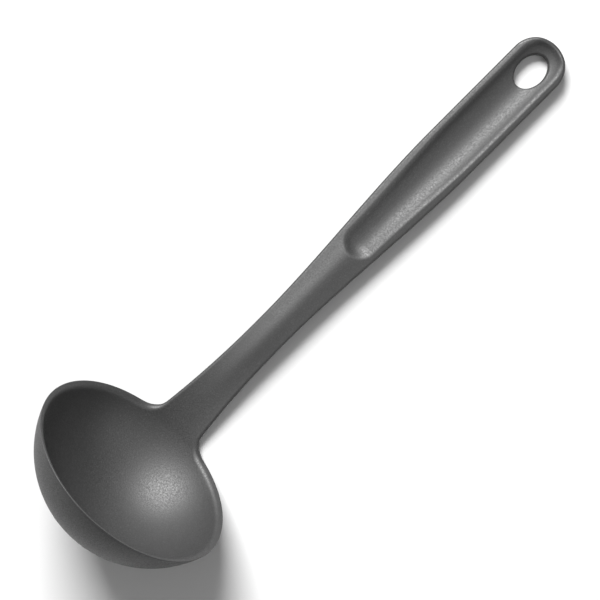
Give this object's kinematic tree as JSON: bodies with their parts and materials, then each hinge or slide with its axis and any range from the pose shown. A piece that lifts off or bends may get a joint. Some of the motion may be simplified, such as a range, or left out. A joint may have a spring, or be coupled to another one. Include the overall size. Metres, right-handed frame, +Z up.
{
  "type": "soup ladle",
  "caption": "One-piece moulded nylon soup ladle: round deep bowl, slim neck, and a long grip with a thumb channel and an oval hang hole.",
  "frame": {"origin": "middle of the bottom of the ladle's box, on the table that it lies on", "axes": "+X along the handle towards the hang hole, with the bowl at -X; Y across, the two halves alike; +Z up, the way the handle's front faces"},
  "size_m": [0.2794, 0.0898, 0.08],
  "materials": {
    "nylon": "satin, fine spark-eroded texture, dark neutral grey"
  },
  "bodies": {
    "root": {"ladle": "nylon"}
  },
  "joints": []
}
